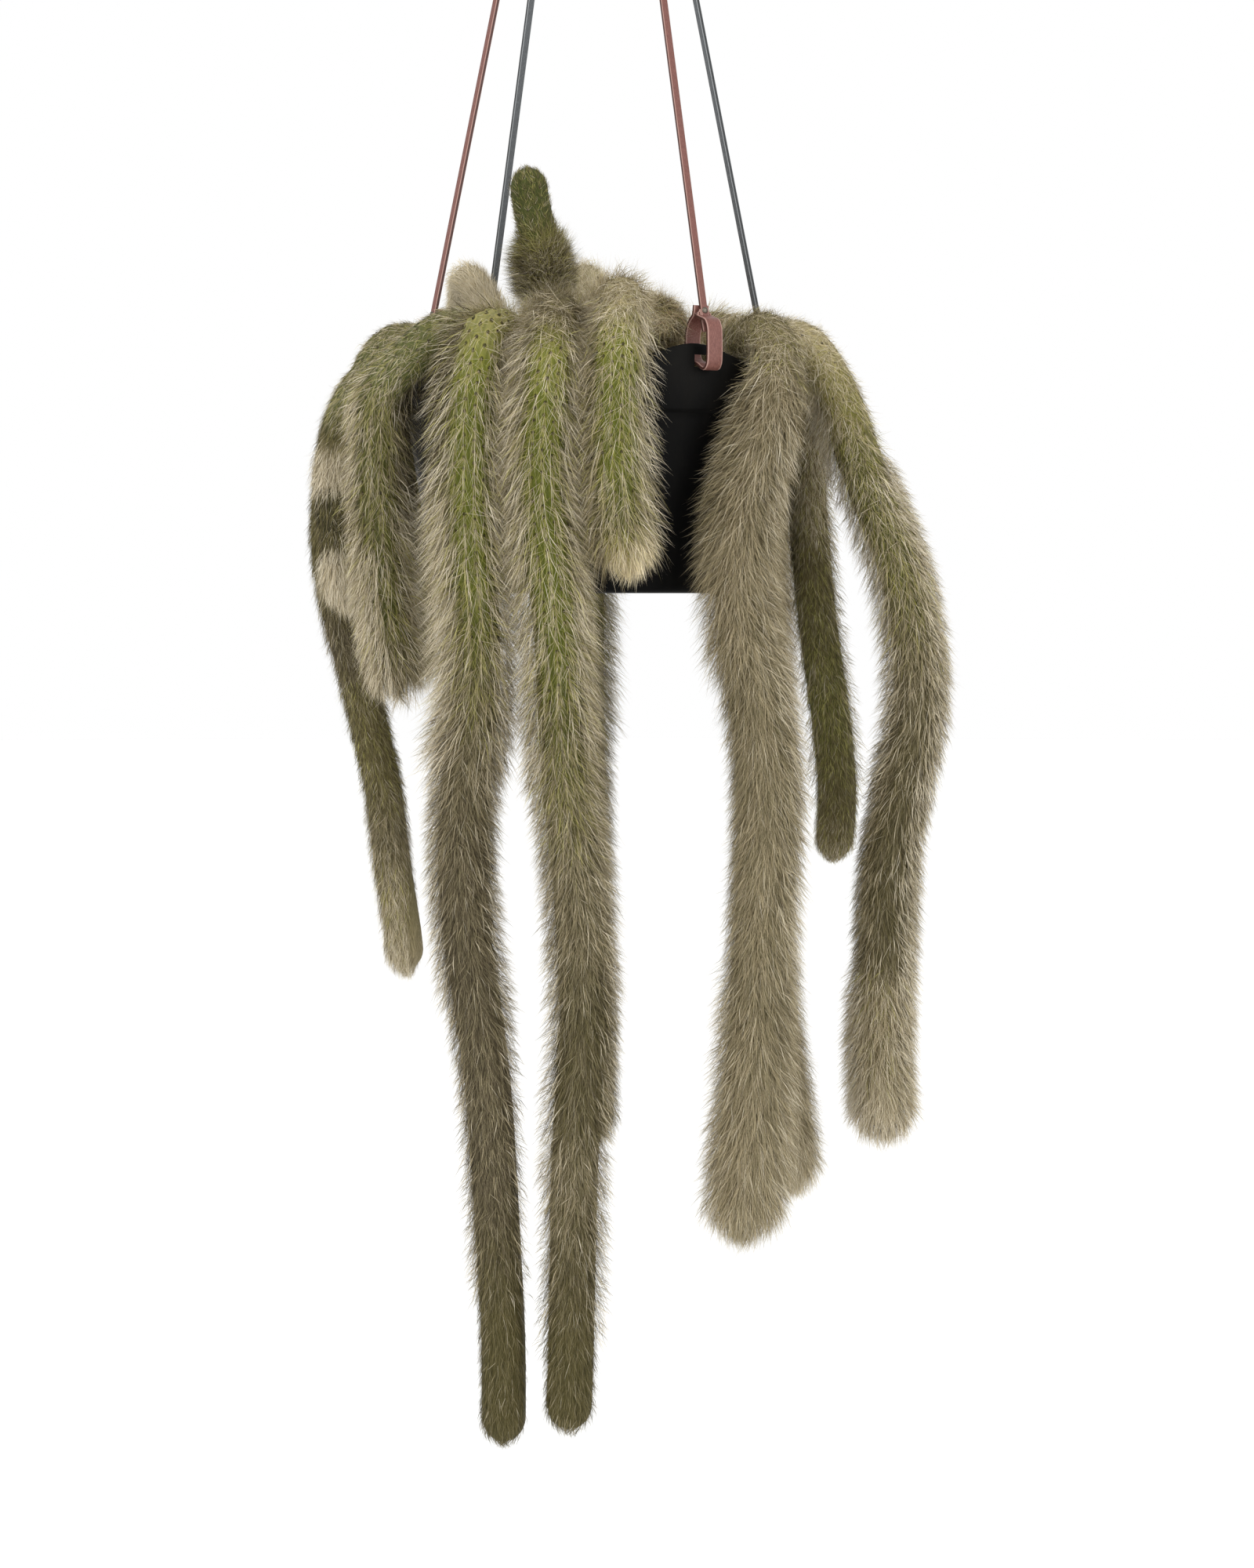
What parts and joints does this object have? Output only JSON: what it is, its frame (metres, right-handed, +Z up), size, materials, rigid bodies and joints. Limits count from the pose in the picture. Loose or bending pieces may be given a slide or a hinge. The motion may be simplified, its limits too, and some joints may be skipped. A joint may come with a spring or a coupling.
{
  "type": "potted monkey tail cactus in a hanging pot",
  "caption": "Trailing cactus with long soft-haired stems that arch over the rim of a round plastic hanging pot, held by straps that meet at a hook.",
  "frame": {"origin": "the point inside the hook's crook that bears the weight, on the pot's axis", "axes": "+Z up, -Y the front of the plant as pictured, +X to the right seen from the front"},
  "size_m": [0.3359, 0.2745, 1.0601],
  "materials": {
    "black_plastic": "satin moulded black plastic, lightly dusty and scuffed",
    "red_brown_strap": "red-brown smooth leather-like strap with a darker edge",
    "grey_strap": "slate grey strap, slightly glossy",
    "dark_metal": "dark satin steel",
    "potting_soil": "dark crumbly potting soil",
    "stem_green": "yellow-green ribbed flesh under long cream hair",
    "stem_olive": "dark olive flesh under short hair",
    "stem_tan": "flesh almost hidden by dense tan hair"
  },
  "bodies": {
    "root": {"pot": "black_plastic", "soil": "potting_soil", "hanger_cap": "dark_metal", "hook": "dark_metal", "strap_front_left": "red_brown_strap", "rivet_front_left": "dark_metal", "strap_front_right": "red_brown_strap", "rivet_front_right": "dark_metal", "strap_back_left": "grey_strap", "rivet_back_left": "dark_metal", "strap_back_right": "grey_strap", "rivet_back_right": "dark_metal", "stem_left_tail": "stem_green", "stem_center_tail": "stem_green", "stem_front_short": "stem_green", "stem_front_bud": "stem_green", "stem_left_short": "stem_green", "stem_left_arch": "stem_green", "stem_left_drop": "stem_olive", "stem_upright": "stem_olive", "stem_back_arch": "stem_tan", "stem_right_tail": "stem_tan", "stem_right_outer": "stem_green", "stem_right_drop": "stem_olive", "stem_right_bud": "stem_tan", "stem_back_center": "stem_green", "stem_back_right": "stem_tan", "stem_back_left": "stem_green", "stem_back_short_left": "stem_green", "stem_back_short_right": "stem_green"}
  },
  "joints": []
}
